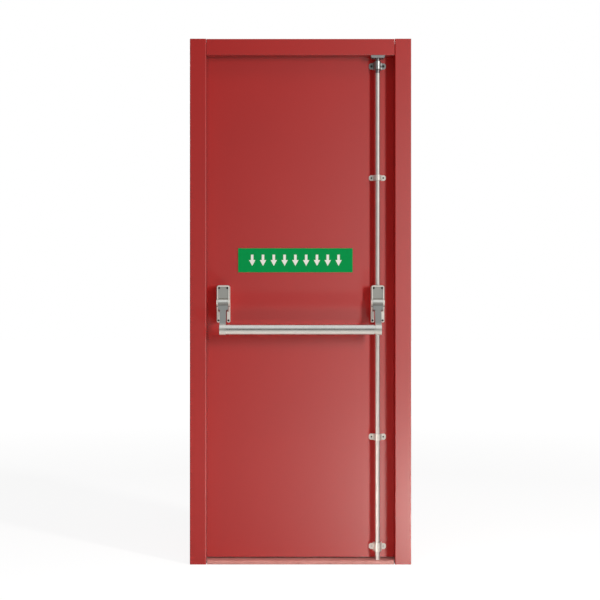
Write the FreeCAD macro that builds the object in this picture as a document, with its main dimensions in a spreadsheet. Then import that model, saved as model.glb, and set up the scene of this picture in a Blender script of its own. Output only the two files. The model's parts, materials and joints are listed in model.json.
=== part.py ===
"""Steel fire-exit door set: folded frame, hollow leaf, push bar and two-point vertical bolt.

Millimetres. X runs along the wall with the hinges at -X, Y runs through the door with the push
side at -Y, Z is up. The origin is at floor level under the middle of the sill.
"""
import FreeCAD, Part
import math
import os
import re
import Sketcher

SIZES = {
    # Frame of folded sheet
    "frame_width": 895,
    "frame_height": 2125,
    "frame_depth": 100,
    "frame_sheet": 1.5,
    "frame_bend": 2,
    "jamb_face": 66,
    "head_face": 66,
    "head_setback": 3,
    "head_joint": 1.5,
    "stop_depth": 45,
    "rebate": 18,
    "wall_lip": 15,
    "sill_height": 16,
    "sill_flange": 70,
    "sill_joint": 3,
    # Leaf of two folded skins
    "leaf_thickness": 46,
    "leaf_skin": 1.2,
    "leaf_bend": 1.3,
    "skin_lap": 20,
    "end_channel": 25,
    "stop_gap": 5,
    "hinge_gap": 6,
    "lock_gap": 8,
    "head_gap": 6,
    "sill_gap": 6,
    # Sign plate
    "sign_width": 467,
    "sign_height": 98,
    "sign_thickness": 1.5,
    "sign_offset": 21,
    "sign_centre": 1231,
    # Lift-off hinges
    "hinge_height": 100,
    "hinge_plate": 2.5,
    "hinge_depth": 44,
    "hinge_low_inset": 228,
    "hinge_high_inset": 201,
    "pin_radius": 4,
    "pin_clearance": 0.05,
    "barrel_wall": 3,
    "barrel_stand": 9,
    "barrel_clearance": 0.6,
    "knuckle_clearance": 0.4,
    # Push bar, its arms and boxes
    "bar_height": 950,
    "bar_stand": 92,
    "bar_tall": 40,
    "bar_deep": 24,
    "bar_end_radius": 8,
    "bar_wall": 2.5,
    "bar_end_gap": 5,
    "spigot_length": 20,
    "spigot_clearance": 0.3,
    "box_inset": 68.5,
    "box_width": 54,
    "box_rise": 71,
    "box_fall": 80,
    "box_depth": 44,
    "box_corner": 10,
    "box_edge": 3,
    "box_rim": 6,
    "panel_recess": 3,
    "nose_radius": 12,
    "nose_fall": 12,
    "lug_depth": 22,
    "lug_corner": 5,
    "well_fall": 36,
    "pivot_height": 1058,
    "pivot_stand": 40,
    "pivot_radius": 4,
    "pivot_clearance": 0.05,
    "hub_radius": 16,
    "hub_clearance": 2,
    "hub_side_clearance": 1,
    "arm_width": 25,
    "arm_side_clearance": 1.5,
    "arm_thickness": 12,
    "arm_shoulder": 34,
    "arm_rim": 1.5,
    # Rods, bolts, guides and keep
    "rod_stand": 26,
    "rod_radius": 8.5,
    "rod_travel": 14,
    "rod_clearance": 0.4,
    "rod_end_clearance": 6,
    "top_rod_start": 40,
    "bottom_rod_start": 56,
    "bolt_radius": 9,
    "bolt_tail": 16,
    "bolt_chamfer": 2,
    "bolt_throw": 8.5,
    "guide_width": 69,
    "guide_ear": 3,
    "ear_corner": 6,
    "guide_hump": 37,
    "guide_wall": 3,
    "guide_clearance": 0.3,
    "top_guide_inset": 50,
    "top_guide_tall": 25,
    "top_hump_tall": 31,
    "upper_guide_inset": 505,
    "upper_guide_tall": 22,
    "lower_guide_inset": 490,
    "lower_guide_tall": 25,
    "bottom_guide_inset": 44,
    "bottom_guide_tall": 24,
    "bottom_hump_tall": 34,
    "keep_width": 58,
    "keep_depth": 40,
    "keep_thickness": 10,
    "keep_taper": 4,
    "keep_clearance": 1.5,
}

LAYOUT = {
    # Frame planes
    "front": "-frame_depth / 2",
    "back": "frame_depth / 2",
    "stop_back": "front + stop_depth",
    "wall_x": "frame_width / 2",
    "reveal_x": "wall_x - jamb_face",
    "rebate_x": "reveal_x + rebate",
    "soffit": "frame_height - head_face",
    "head_front": "front + head_setback",
    # Leaf planes
    "leaf_front": "stop_back + stop_gap",
    "leaf_back": "leaf_front + leaf_thickness",
    "leaf_hinge_edge": "-rebate_x + hinge_gap",
    "leaf_lock_edge": "rebate_x - lock_gap",
    "leaf_bottom": "sill_height + sill_gap",
    "leaf_top": "soffit + rebate - head_gap",
    "lap_hinge_edge": "leaf_hinge_edge + leaf_skin",
    "lap_lock_edge": "leaf_lock_edge - leaf_skin",
    "core_front": "leaf_front + leaf_skin",
    "core_back": "leaf_back - leaf_skin",
    "core_hinge_edge": "lap_hinge_edge + leaf_skin + leaf_bend",
    "core_lock_edge": "lap_lock_edge - leaf_skin - leaf_bend",
    # Hinge axis and knuckles
    "axis_x": "leaf_hinge_edge - hinge_gap / 2",
    "axis_y": "back + barrel_stand",
    "knuckle_bore": "pin_radius + pin_clearance",
    "barrel_radius": "pin_radius + barrel_wall",
    "knuckle_pitch": "hinge_height / 2",
    "knuckle_tall": "knuckle_pitch - knuckle_clearance",
    "plate_far": "hinge_gap / 2",
    "plate_near": "plate_far - hinge_plate",
    "plate_edge": "barrel_radius + barrel_clearance",
    "plate_root": "knuckle_bore + barrel_wall / 2",
    "hinge_low": "leaf_bottom + hinge_low_inset",
    "hinge_high": "leaf_top - hinge_high_inset",
    # Push bar
    "box_spacing": "reveal_x - box_inset",
    "well_half": "box_width / 2 - box_rim",
    "hub_half": "well_half - hub_side_clearance",
    "slot_half": "arm_width / 2 + arm_side_clearance",
    "pivot_bore": "pivot_radius + pivot_clearance",
    "arm_drop": "pivot_height - bar_height",
    "arm_reach": "bar_stand - pivot_stand",
    "arm_length": "sqrt(arm_drop * arm_drop + arm_reach * arm_reach)",
    "arm_side_y": "arm_thickness / 2 * arm_drop / arm_length",
    "arm_side_z": "arm_thickness / 2 * arm_reach / arm_length",
    "shoulder_y": "arm_shoulder * arm_reach / arm_length",
    "shoulder_z": "arm_shoulder * arm_drop / arm_length",
    "bar_end_reach": "bar_tall / 2 - bar_end_radius",
    "bar_swell": "bar_deep / 2 - bar_end_radius",
    "bar_flank_shift": "(bar_end_reach * bar_end_reach - bar_swell * bar_swell) / (2 * bar_swell)",
    "bar_hinge_end": "-box_spacing + arm_width / 2",
    "bar_latch_end": "box_spacing - arm_width / 2 - bar_end_gap",
    "box_bore_depth": "box_rise - top_rod_start + rod_travel + rod_end_clearance",
    # Rods, bolts and guides
    "top_guide_centre": "leaf_top - top_guide_inset",
    "upper_guide_centre": "leaf_top - upper_guide_inset",
    "lower_guide_centre": "leaf_bottom + lower_guide_inset",
    "bottom_guide_centre": "leaf_bottom + bottom_guide_inset",
    "keep_bottom": "soffit - keep_thickness",
    "top_bolt_tip": "keep_bottom + bolt_throw",
    "top_bolt_end": "top_guide_centre - top_hump_tall / 2 - bolt_tail",
    "top_rod_end": "pivot_height + top_rod_start",
    "bottom_bolt_tip": "sill_height - bolt_throw",
    "bottom_bolt_end": "bottom_guide_centre + bottom_hump_tall / 2 + bolt_tail",
    "bottom_rod_end": "pivot_height - bottom_rod_start",
}

HINGE_PLACES = {
    "top": "hinge_high",
    "middle": "(hinge_high + hinge_low) / 2",
    "bottom": "hinge_low",
}

NEAR = 0.01

doc = FreeCAD.newDocument("fire_exit_door")
sizes = doc.addObject("Spreadsheet::Sheet", "Sizes")
layout = doc.addObject("Spreadsheet::Sheet", "Layout")
pieces = []


def link(text):
    """Turn the plain words of a formula into references to the two sheets."""

    def reference(match):
        word = match.group(0)
        if word in SIZES:
            return "Sizes." + word
        if word in LAYOUT:
            return "Layout." + word
        return word

    return re.sub(r"[a-z_]+", reference, text)


def value(text):
    """Work out a formula of sizes as a number."""
    return float(sizes.evalExpression(link(text)))


def fill_sheets():
    """Write the driving sizes as plain numbers and the places worked out from them."""
    for row, (alias, number) in enumerate(SIZES.items(), start=1):
        sizes.set(f"A{row}", alias)
        sizes.set(f"B{row}", str(number))
        sizes.setAlias(f"B{row}", alias)
    for row, (alias, formula) in enumerate(LAYOUT.items(), start=1):
        layout.set(f"A{row}", alias)
        layout.set(f"B{row}", "=" + link(formula).replace("Layout.", ""))
        layout.setAlias(f"B{row}", alias)
    doc.recompute()


def new_body(label):
    """Start a piece."""
    body = doc.addObject("PartDesign::Body", label)
    body.Label = label
    pieces.append(body)
    return body


def place(body, x="0", y="0", z="0"):
    """Put a piece's own origin at a place in the door."""
    body.setExpression("Placement.Base.x", link(x))
    body.setExpression("Placement.Base.y", link(y))
    body.setExpression("Placement.Base.z", link(z))


def new_sketch(body, plane):
    """Open a sketch on one of the piece's origin planes."""
    sketch = body.newObject("Sketcher::SketchObject", body.Label + "_sketch")
    support = [item for item in body.Origin.OriginFeatures if item.Role == plane][0]
    sketch.AttachmentSupport = [(support, "")]
    sketch.MapMode = "FlatFace"
    return sketch


def lift(sketch, height):
    """Move a sketch along its plane's normal."""
    sketch.setExpression("AttachmentOffset.Base.z", link(height))


def bind(sketch, kind, element, point, formula):
    """Hold one coordinate of a sketch point to a formula."""
    index = sketch.addConstraint(Sketcher.Constraint(kind, -1, 1, element, point, value(formula)))
    sketch.setExpression(f"Constraints[{index}]", link(formula))


def add_polygon(sketch, points):
    """Draw a closed outline whose corners are held to formulas."""
    corners = [FreeCAD.Vector(value(u), value(v), 0) for u, v in points]
    first = sketch.GeometryCount
    count = len(points)
    for index in range(count):
        sketch.addGeometry(Part.LineSegment(corners[index], corners[(index + 1) % count]), False)
    for index in range(count):
        following = first + (index + 1) % count
        sketch.addConstraint(Sketcher.Constraint("Coincident", first + index, 2, following, 1))
    for index, (u, v) in enumerate(points):
        bind(sketch, "DistanceX", first + index, 1, u)
        bind(sketch, "DistanceY", first + index, 1, v)


def add_circle(sketch, u, v, radius):
    """Draw a circle whose centre and radius are held to formulas."""
    centre = FreeCAD.Vector(value(u), value(v), 0)
    index = sketch.addGeometry(Part.Circle(centre, FreeCAD.Vector(0, 0, 1), value(radius)), False)
    bind(sketch, "DistanceX", index, 3, u)
    bind(sketch, "DistanceY", index, 3, v)
    held = sketch.addConstraint(Sketcher.Constraint("Radius", index, value(radius)))
    sketch.setExpression(f"Constraints[{held}]", link(radius))


def add_oval(sketch, u, v, growth):
    """Draw the upright oval of the bar, four arcs that run into each other.

    Args:
        sketch: Sketch to draw in.
        u: Formula for the middle, across.
        v: Formula for the middle, up.
        growth: Formula for how far the outline stands outside the bar's own.
    """
    shift = value("bar_flank_shift")
    reach = value("bar_end_reach")
    end_radius = value(f"bar_end_radius + {growth}")
    flank_radius = value(f"bar_flank_shift + bar_deep / 2 + {growth}")
    lean = math.atan2(reach, shift)
    arcs = [
        ("0", "bar_end_reach", end_radius, lean, math.pi - lean),
        ("bar_flank_shift", "0", flank_radius, math.pi - lean, math.pi + lean),
        ("0", "-bar_end_reach", end_radius, math.pi + lean, 2 * math.pi - lean),
        ("-bar_flank_shift", "0", flank_radius, -lean, lean),
    ]
    drawn = []
    for across, up, radius, start, end in arcs:
        centre = FreeCAD.Vector(value(f"{u} + ({across})"), value(f"{v} + ({up})"), 0)
        circle = Part.Circle(centre, FreeCAD.Vector(0, 0, 1), radius)
        drawn.append(sketch.addGeometry(Part.ArcOfCircle(circle, start, end), False))
    for index, arc in enumerate(drawn):
        sketch.addConstraint(Sketcher.Constraint("Tangent", arc, 2, drawn[(index + 1) % 4], 1))
    top, _, bottom, _ = drawn
    for arc, up in ((top, "bar_end_reach"), (bottom, "-bar_end_reach")):
        bind(sketch, "DistanceX", arc, 3, u)
        bind(sketch, "DistanceY", arc, 3, f"{v} + ({up})")
    for arc, formula in zip(drawn, 2 * ["bar_end_radius", "bar_flank_shift + bar_deep / 2"]):
        held = sketch.addConstraint(Sketcher.Constraint("Radius", arc, value(f"{formula} + {growth}")))
        sketch.setExpression(f"Constraints[{held}]", link(f"{formula} + {growth}"))


def pad(body, sketch, length, symmetric=False, backwards=False):
    """Grow a solid from a sketch."""
    feature = body.newObject("PartDesign::Pad", body.Label + "_pad")
    feature.Profile = sketch
    feature.SideType = "Symmetric" if symmetric else "One side"
    feature.Reversed = backwards
    feature.setExpression("Length", link(length))
    doc.recompute()
    return feature


def pocket(body, sketch, length, symmetric=False, backwards=False):
    """Cut a sketch out of a solid and make sure that it did cut."""
    before = body.Shape.Volume
    feature = body.newObject("PartDesign::Pocket", body.Label + "_pocket")
    feature.Profile = sketch
    feature.SideType = "Symmetric" if symmetric else "One side"
    feature.Reversed = backwards
    feature.setExpression("Length", link(length))
    doc.recompute()
    if body.Shape.Volume >= before:
        raise RuntimeError(f"a pocket of {body.Label} cuts nothing")
    return feature


def dress_edges(body, kind, size, chosen):
    """Round or chamfer the edges whose two ends pass a test.

    Args:
        body: The piece, whose edges lie in its own frame before it is placed.
        kind: Fillet or Chamfer.
        size: Formula for the radius or the width.
        chosen: Test of an edge's two end points.
    """
    base = body.Tip
    names = []
    for number, edge in enumerate(base.Shape.Edges, start=1):
        start = edge.Vertexes[0].Point
        end = edge.Vertexes[-1].Point
        if start.distanceToPoint(end) > NEAR and chosen(start, end):
            names.append(f"Edge{number}")
    if not names:
        raise RuntimeError(f"no edge of {body.Label} to dress")
    feature = body.newObject("PartDesign::" + kind, f"{body.Label}_{kind.lower()}")
    feature.Base = (base, names)
    feature.setExpression("Radius" if kind == "Fillet" else "Size", link(size))
    doc.recompute()
    return feature


def is_at(first, second, spots):
    """Make a test for edges that run square to two axes through one of the given spots."""

    def test(start, end):
        for u, v in spots:
            gaps = [getattr(point, first) - u for point in (start, end)]
            gaps += [getattr(point, second) - v for point in (start, end)]
            if max(map(abs, gaps)) < NEAR:
                return True
        return False

    return test


def folded_sheet(label, plane, path, thickness, bend, length, inside, symmetric=False):
    """Fold a strip of sheet along a square-cornered path and run it out to a length.

    The path is the outer face of the sheet, and inside is 1 where the sheet lies to the left of
    the path and -1 where it lies to the right. With no bend the folds are pressed square.
    """
    spots = [(value(u), value(v)) for u, v in path]
    steps = []
    for start, end in zip(spots, spots[1:]):
        across = end[0] - start[0]
        up = end[1] - start[1]
        span = abs(across) + abs(up)
        steps.append((across / span, up / span))
    inner = []
    wide = []
    tight = []
    gauge = value(thickness)
    for index, (u, v) in enumerate(path):
        before = steps[max(index - 1, 0)]
        after = steps[min(index, len(steps) - 1)]
        normals = {(-before[1], before[0]), (-after[1], after[0])}
        shift_u = round(inside * sum(normal[0] for normal in normals))
        shift_v = round(inside * sum(normal[1] for normal in normals))
        inner.append((f"{u} + {shift_u} * {thickness}", f"{v} + {shift_v} * {thickness}"))
        if 0 < index < len(path) - 1:
            turn = inside * (before[0] * after[1] - before[1] * after[0])
            outer_spot = spots[index]
            inner_spot = (outer_spot[0] + shift_u * gauge, outer_spot[1] + shift_v * gauge)
            wide.append(outer_spot if turn > 0 else inner_spot)
            tight.append(inner_spot if turn > 0 else outer_spot)
    body = new_body(label)
    sketch = new_sketch(body, plane)
    add_polygon(sketch, path + inner[::-1])
    pad(body, sketch, length, symmetric)
    if bend:
        first, second = ("x", "y") if plane == "XY_Plane" else ("y", "z")
        dress_edges(body, "Fillet", f"{bend} + {thickness}", is_at(first, second, wide))
        dress_edges(body, "Fillet", bend, is_at(first, second, tight))
    return body


def turned(label, outline):
    """Turn a solid about its own Z axis from the outline of one half, radius first."""
    body = new_body(label)
    sketch = new_sketch(body, "XZ_Plane")
    add_polygon(sketch, outline)
    feature = body.newObject("PartDesign::Revolution", label + "_turn")
    feature.Profile = sketch
    feature.ReferenceAxis = (sketch, ["V_Axis"])
    feature.Angle = 360
    doc.recompute()
    return body


def make_jamb(label, side):
    """Fold one jamb: front face, reveal, stop, rebate and two lips against the wall."""
    wall = f"{side} * wall_x"
    reveal = f"{side} * reveal_x"
    rebate = f"{side} * rebate_x"
    path = [
        (wall, "front + wall_lip"),
        (wall, "front"),
        (reveal, "front"),
        (reveal, "stop_back"),
        (rebate, "stop_back"),
        (rebate, "back"),
        (wall, "back"),
        (wall, "back - wall_lip"),
    ]
    folded_sheet(label, "XY_Plane", path, "frame_sheet", "frame_bend", "frame_height", -side)


def cope_ends(body, joint):
    """Notch both ends of a rail so that it closes round the stops of the jambs with a thin joint."""
    for side in (-1, 1):
        sketch = new_sketch(body, "XY_Plane")
        inner = f"{side} * (reveal_x - {joint})"
        outer = f"{side} * (rebate_x + frame_sheet)"
        corners = [
            (inner, "front - frame_sheet"),
            (outer, "front - frame_sheet"),
            (outer, "stop_back + frame_bend"),
            (inner, "stop_back + frame_bend"),
        ]
        add_polygon(sketch, corners)
        pocket(body, sketch, "2 * frame_height + 2 * frame_sheet", symmetric=True)


def make_head():
    """Fold the head, which stands between the jambs a little behind their faces."""
    path = [
        ("head_front + wall_lip", "frame_height"),
        ("head_front", "frame_height"),
        ("head_front", "soffit"),
        ("stop_back", "soffit"),
        ("stop_back", "soffit + rebate"),
        ("back", "soffit + rebate"),
        ("back", "frame_height"),
        ("back - wall_lip", "frame_height"),
    ]
    body = folded_sheet(
        "head", "YZ_Plane", path, "frame_sheet", "frame_bend", "2 * rebate_x", 1, symmetric=True
    )
    cope_ends(body, "head_joint")


def make_sill():
    """Fold the sill, with a flange on the floor and a socket hole for the bottom bolt."""
    path = [
        ("back", "0"),
        ("back", "sill_height"),
        ("front", "sill_height"),
        ("front", "0"),
        ("front + sill_flange", "0"),
    ]
    body = folded_sheet(
        "sill", "YZ_Plane", path, "frame_sheet", "frame_bend", "2 * rebate_x", 1, symmetric=True
    )
    cope_ends(body, "sill_joint")
    sketch = new_sketch(body, "XY_Plane")
    lift(sketch, "sill_height / 2")
    add_circle(sketch, "box_spacing", "leaf_front - rod_stand", "bolt_radius + keep_clearance")
    pocket(body, sketch, "sill_height", backwards=True)


def make_keep():
    """Shape the keep under the head: a block that narrows downwards, bored for the top bolt."""
    body = new_body("top_keep")
    sketch = new_sketch(body, "XZ_Plane")
    outline = [
        ("-keep_width / 2", "0"),
        ("-keep_width / 2 + keep_taper", "-keep_thickness"),
        ("keep_width / 2 - keep_taper", "-keep_thickness"),
        ("keep_width / 2", "0"),
    ]
    add_polygon(sketch, outline)
    pad(body, sketch, "keep_depth", symmetric=True)
    hole = new_sketch(body, "XY_Plane")
    add_circle(hole, "0", "0", "bolt_radius + keep_clearance")
    pocket(body, hole, "keep_thickness")
    place(body, "box_spacing", "leaf_front - rod_stand", "soffit")


def make_hinge_leaf(label, side, number, height):
    """Make one leaf of a lift-off hinge: a plate in the gap and its knuckle.

    Args:
        label: Name of the piece.
        side: -1 for the leaf on the jamb, 1 for the leaf on the door.
        number: 0 for the lower knuckle, 1 for the upper one.
        height: Formula for the middle of the hinge.
    """
    body = new_body(label)
    near = f"{side} * plate_near"
    far = f"{side} * plate_far"
    tip = "-hinge_depth"
    edge = "-plate_edge"
    plate = new_sketch(body, "XY_Plane")
    add_polygon(plate, [(near, tip), (far, tip), (far, edge), (near, edge)])
    pad(body, plate, "hinge_height")
    start = f"{number} * knuckle_pitch + knuckle_clearance / 2"
    inside = "-plate_edge - hinge_plate"
    root = "-plate_root"
    strip = new_sketch(body, "XY_Plane")
    lift(strip, start)
    add_polygon(strip, [(near, inside), (far, inside), (far, root), (near, root)])
    pad(body, strip, "knuckle_tall")
    ring = new_sketch(body, "XY_Plane")
    lift(ring, start)
    add_circle(ring, "0", "0", "barrel_radius")
    add_circle(ring, "0", "0", "knuckle_bore")
    pad(body, ring, "knuckle_tall")
    place(body, "axis_x", "axis_y", f"{height} - hinge_height / 2")


def make_hinges():
    """Make three lift-off hinges, each of a frame leaf, a door leaf and a pin."""
    for name, height in HINGE_PLACES.items():
        make_hinge_leaf(f"{name}_hinge_frame_leaf", -1, 0, height)
        make_hinge_leaf(f"{name}_hinge_door_leaf", 1, 1, height)
        outline = [
            ("0", "knuckle_clearance / 2"),
            ("pin_radius", "knuckle_clearance / 2"),
            ("pin_radius", "hinge_height - knuckle_clearance / 2"),
            ("0", "hinge_height - knuckle_clearance / 2"),
        ]
        body = turned(f"{name}_hinge_pin", outline)
        place(body, "axis_x", "axis_y", f"{height} - hinge_height / 2")


def make_leaf():
    """Make the leaf: two folded skins, the channels that close its ends, and its core."""
    tray = [
        ("leaf_hinge_edge", "leaf_back"),
        ("leaf_hinge_edge", "leaf_front"),
        ("leaf_lock_edge", "leaf_front"),
        ("leaf_lock_edge", "leaf_back"),
    ]
    tall = "leaf_top - leaf_bottom"
    body = folded_sheet("push_side_skin", "XY_Plane", tray, "leaf_skin", "leaf_bend", tall, 1)
    place(body, z="leaf_bottom")
    cover = [
        ("lap_lock_edge", "leaf_back - skin_lap"),
        ("lap_lock_edge", "leaf_back"),
        ("lap_hinge_edge", "leaf_back"),
        ("lap_hinge_edge", "leaf_back - skin_lap"),
    ]
    body = folded_sheet("outer_skin", "XY_Plane", cover, "leaf_skin", "leaf_bend", tall, 1)
    place(body, z="leaf_bottom")
    wide = "core_lock_edge - core_hinge_edge"
    middle = "(core_lock_edge + core_hinge_edge) / 2"
    ends = {"leaf_top_channel": ("leaf_top", -1), "leaf_bottom_channel": ("leaf_bottom", 1)}
    for label, (level, inward) in ends.items():
        path = [
            ("core_front", f"{inward} * end_channel"),
            ("core_front", "0"),
            ("core_back", "0"),
            ("core_back", f"{inward} * end_channel"),
        ]
        body = folded_sheet(label, "YZ_Plane", path, "leaf_skin", None, wide, inward, symmetric=True)
        place(body, x=middle, z=level)
    core = new_body("leaf_core")
    sketch = new_sketch(core, "XY_Plane")
    corners = [
        ("core_hinge_edge", "core_front"),
        ("core_lock_edge", "core_front"),
        ("core_lock_edge", "core_back"),
        ("core_hinge_edge", "core_back"),
    ]
    add_polygon(sketch, corners)
    pad(core, sketch, f"{tall} - 2 * end_channel")
    place(core, z="leaf_bottom + end_channel")


def make_sign():
    """Make the bare sign plate on the push side."""
    body = new_body("sign_plate")
    sketch = new_sketch(body, "XZ_Plane")
    half_wide = "sign_width / 2"
    half_tall = "sign_height / 2"
    corners = [
        (f"-{half_wide}", f"-{half_tall}"),
        (half_wide, f"-{half_tall}"),
        (half_wide, half_tall),
        (f"-{half_wide}", half_tall),
    ]
    add_polygon(sketch, corners)
    pad(body, sketch, "sign_thickness")
    place(body, "-sign_offset", "leaf_front", "sign_centre")


def make_box(label, side, has_rod):
    """Make one push-bar box: a cover, two cheeks with noses for the pivot, and lugs below them."""
    body = new_body(label)
    profile = new_sketch(body, "YZ_Plane")
    outline = [
        ("0", "box_rise"),
        ("-box_depth", "box_rise"),
        ("-box_depth", "-nose_fall"),
        ("-lug_depth", "-well_fall"),
        ("-lug_depth", "-box_fall"),
        ("0", "-box_fall"),
    ]
    add_polygon(profile, outline)
    pad(body, profile, "box_width", symmetric=True)
    half = value("box_width / 2")
    top = value("box_rise")
    dress_edges(body, "Fillet", "box_corner", is_at("x", "z", [(-half, top), (half, top)]))
    face = -value("box_depth")
    chin = -value("nose_fall")

    def is_rim(start, end):
        return max(start.y, end.y) < face + NEAR and max(start.z, end.z) > chin + NEAR

    dress_edges(body, "Chamfer", "box_edge", is_rim)
    nose = new_sketch(body, "YZ_Plane")
    add_circle(nose, "-pivot_stand", "0", "nose_radius")
    pad(body, nose, "box_width", symmetric=True)
    for width, low, high in (("well_half", "-well_fall", "0"), ("slot_half", "-2 * box_fall", "-well_fall")):
        window = new_sketch(body, "XZ_Plane")
        add_polygon(window, [(f"-{width}", low), (width, low), (width, high), (f"-{width}", high)])
        pocket(body, window, "4 * box_depth", symmetric=True)
    panel = new_sketch(body, "XZ_Plane")
    lift(panel, "box_depth - panel_recess")
    crest = "box_rise - box_rim"
    add_polygon(panel, [("-well_half", "0"), ("well_half", "0"), ("well_half", crest), ("-well_half", crest)])
    pocket(body, panel, "box_depth", backwards=True)
    hollow = new_sketch(body, "YZ_Plane")
    add_circle(hollow, "-pivot_stand", "0", "hub_radius + hub_clearance")
    pocket(body, hollow, "2 * well_half", symmetric=True)
    feet = []
    for spot in (half, value("slot_half")):
        feet.append((spot, -value("box_fall")))
        feet.append((-spot, -value("box_fall")))
    dress_edges(body, "Fillet", "lug_corner", is_at("x", "z", feet))
    bore = new_sketch(body, "YZ_Plane")
    add_circle(bore, "-pivot_stand", "0", "pivot_bore")
    pocket(body, bore, "2 * box_width", symmetric=True)
    if has_rod:
        rod_hole = new_sketch(body, "XY_Plane")
        lift(rod_hole, "box_rise")
        add_circle(rod_hole, "0", "-rod_stand", "rod_radius + rod_clearance")
        pocket(body, rod_hole, "box_bore_depth")
    place(body, f"{side} * box_spacing", "leaf_front", "pivot_height")


def make_pivot(label, side):
    """Turn the pin that an arm swings on, held across its box."""
    outline = [
        ("0", "-box_width / 2"),
        ("pivot_radius", "-box_width / 2"),
        ("pivot_radius", "box_width / 2"),
        ("0", "box_width / 2"),
    ]
    body = turned(label, outline)
    place(body, f"{side} * box_spacing", "leaf_front - pivot_stand", "pivot_height")
    body.Placement.Rotation = FreeCAD.Rotation(FreeCAD.Vector(0, 1, 0), 90)


def make_arm(label, side):
    """Make one arm: a wide hub and shoulder, a shank, and a capped spigot that the bar slides on."""
    body = new_body(label)
    hub = new_sketch(body, "YZ_Plane")
    add_circle(hub, "0", "0", "hub_radius")
    pad(body, hub, "2 * hub_half", symmetric=True)
    stretches = {"2 * hub_half": ("shoulder_y", "shoulder_z"), "arm_width": ("arm_reach", "arm_drop")}
    for width, (out, down) in stretches.items():
        stretch = new_sketch(body, "YZ_Plane")
        corners = [
            ("-arm_side_y", "arm_side_z"),
            (f"-{out} - arm_side_y", f"-{down} + arm_side_z"),
            (f"-{out} + arm_side_y", f"-{down} - arm_side_z"),
            ("arm_side_y", "-arm_side_z"),
        ]
        add_polygon(stretch, corners)
        pad(body, stretch, width, symmetric=True)
    cap = new_sketch(body, "YZ_Plane")
    add_oval(cap, "-arm_reach", "-arm_drop", "arm_rim")
    pad(body, cap, "arm_width", symmetric=True)
    spigot = new_sketch(body, "YZ_Plane")
    lift(spigot, f"{-side} * arm_width / 2")
    add_oval(spigot, "-arm_reach", "-arm_drop", "(-bar_wall - spigot_clearance)")
    pad(body, spigot, "spigot_length", backwards=side > 0)
    bore = new_sketch(body, "YZ_Plane")
    add_circle(bore, "0", "0", "pivot_bore")
    pocket(body, bore, "2 * box_width", symmetric=True)
    place(body, f"{side} * box_spacing", "leaf_front - pivot_stand", "pivot_height")


def make_bar():
    """Draw the hollow oval bar, tight against one arm and a little short of the other."""
    body = new_body("push_bar")
    sketch = new_sketch(body, "YZ_Plane")
    add_oval(sketch, "0", "0", "0")
    add_oval(sketch, "0", "0", "(-bar_wall)")
    pad(body, sketch, "bar_latch_end - bar_hinge_end")
    place(body, "bar_hinge_end", "leaf_front - bar_stand", "bar_height")


def make_guide(label, inner_radius, hump_tall):
    """Make a rod guide: two flat ears on the leaf and a domed hump bored for the rod."""
    body = new_body(label)
    half = "guide_width / 2"
    ears = new_sketch(body, "XY_Plane")
    add_polygon(ears, [(f"-{half}", "-guide_ear"), (half, "-guide_ear"), (half, "0"), (f"-{half}", "0")])
    pad(body, ears, f"{label}_tall", symmetric=True)
    reach = value(half)
    rise = value(f"{label}_tall / 2")
    corners = [(-reach, -rise), (reach, -rise), (reach, rise), (-reach, rise)]
    dress_edges(body, "Chamfer", "ear_corner", is_at("x", "z", corners))
    outer = f"{inner_radius} + guide_clearance + guide_wall"
    foot = "guide_hump / 2"
    hump = new_sketch(body, "XY_Plane")
    add_polygon(hump, [(f"-{foot}", "0"), (f"-({outer})", "-rod_stand"), (outer, "-rod_stand"), (foot, "0")])
    pad(body, hump, hump_tall, symmetric=True)
    dome = new_sketch(body, "XY_Plane")
    add_circle(dome, "0", "-rod_stand", outer)
    pad(body, dome, hump_tall, symmetric=True)
    bore = new_sketch(body, "XY_Plane")
    add_circle(bore, "0", "-rod_stand", f"{inner_radius} + guide_clearance")
    pocket(body, bore, f"2 * {hump_tall}", symmetric=True)
    place(body, "box_spacing", "leaf_front", f"{label}_centre")


def make_rod(label, low, high):
    """Turn a plain rod between two levels."""
    outline = [
        ("0", "0"),
        ("rod_radius", "0"),
        ("rod_radius", f"{high} - {low}"),
        ("0", f"{high} - {low}"),
    ]
    body = turned(label, outline)
    place(body, "box_spacing", "leaf_front - rod_stand", low)


def make_bolt(label, tip, end, inward):
    """Turn a bolt from its chamfered tip to the rod; inward is 1 where the bolt points down."""
    outline = [
        ("0", "0"),
        ("bolt_radius - bolt_chamfer", "0"),
        ("bolt_radius", f"{inward} * bolt_chamfer"),
        ("bolt_radius", f"{end} - {tip}"),
        ("0", f"{end} - {tip}"),
    ]
    body = turned(label, outline)
    place(body, "box_spacing", "leaf_front - rod_stand", tip)


def make_hardware():
    """Make the push bar, the rods that it draws and all that carries them on the leaf."""
    make_box("hinge_side_box", -1, False)
    make_box("latch_side_box", 1, True)
    for label, side in (("hinge_side", -1), ("latch_side", 1)):
        make_pivot(f"{label}_pivot", side)
        make_arm(f"{label}_arm", side)
    make_bar()
    make_guide("top_guide", "bolt_radius", "top_hump_tall")
    make_guide("upper_guide", "rod_radius", "upper_guide_tall")
    make_guide("lower_guide", "rod_radius", "lower_guide_tall")
    make_guide("bottom_guide", "bolt_radius", "bottom_hump_tall")
    make_rod("top_rod", "top_rod_end", "top_bolt_end")
    make_bolt("top_bolt", "top_bolt_tip", "top_bolt_end", -1)
    make_rod("bottom_rod", "bottom_bolt_end", "bottom_rod_end")
    make_bolt("bottom_bolt", "bottom_bolt_tip", "bottom_bolt_end", 1)


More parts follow.
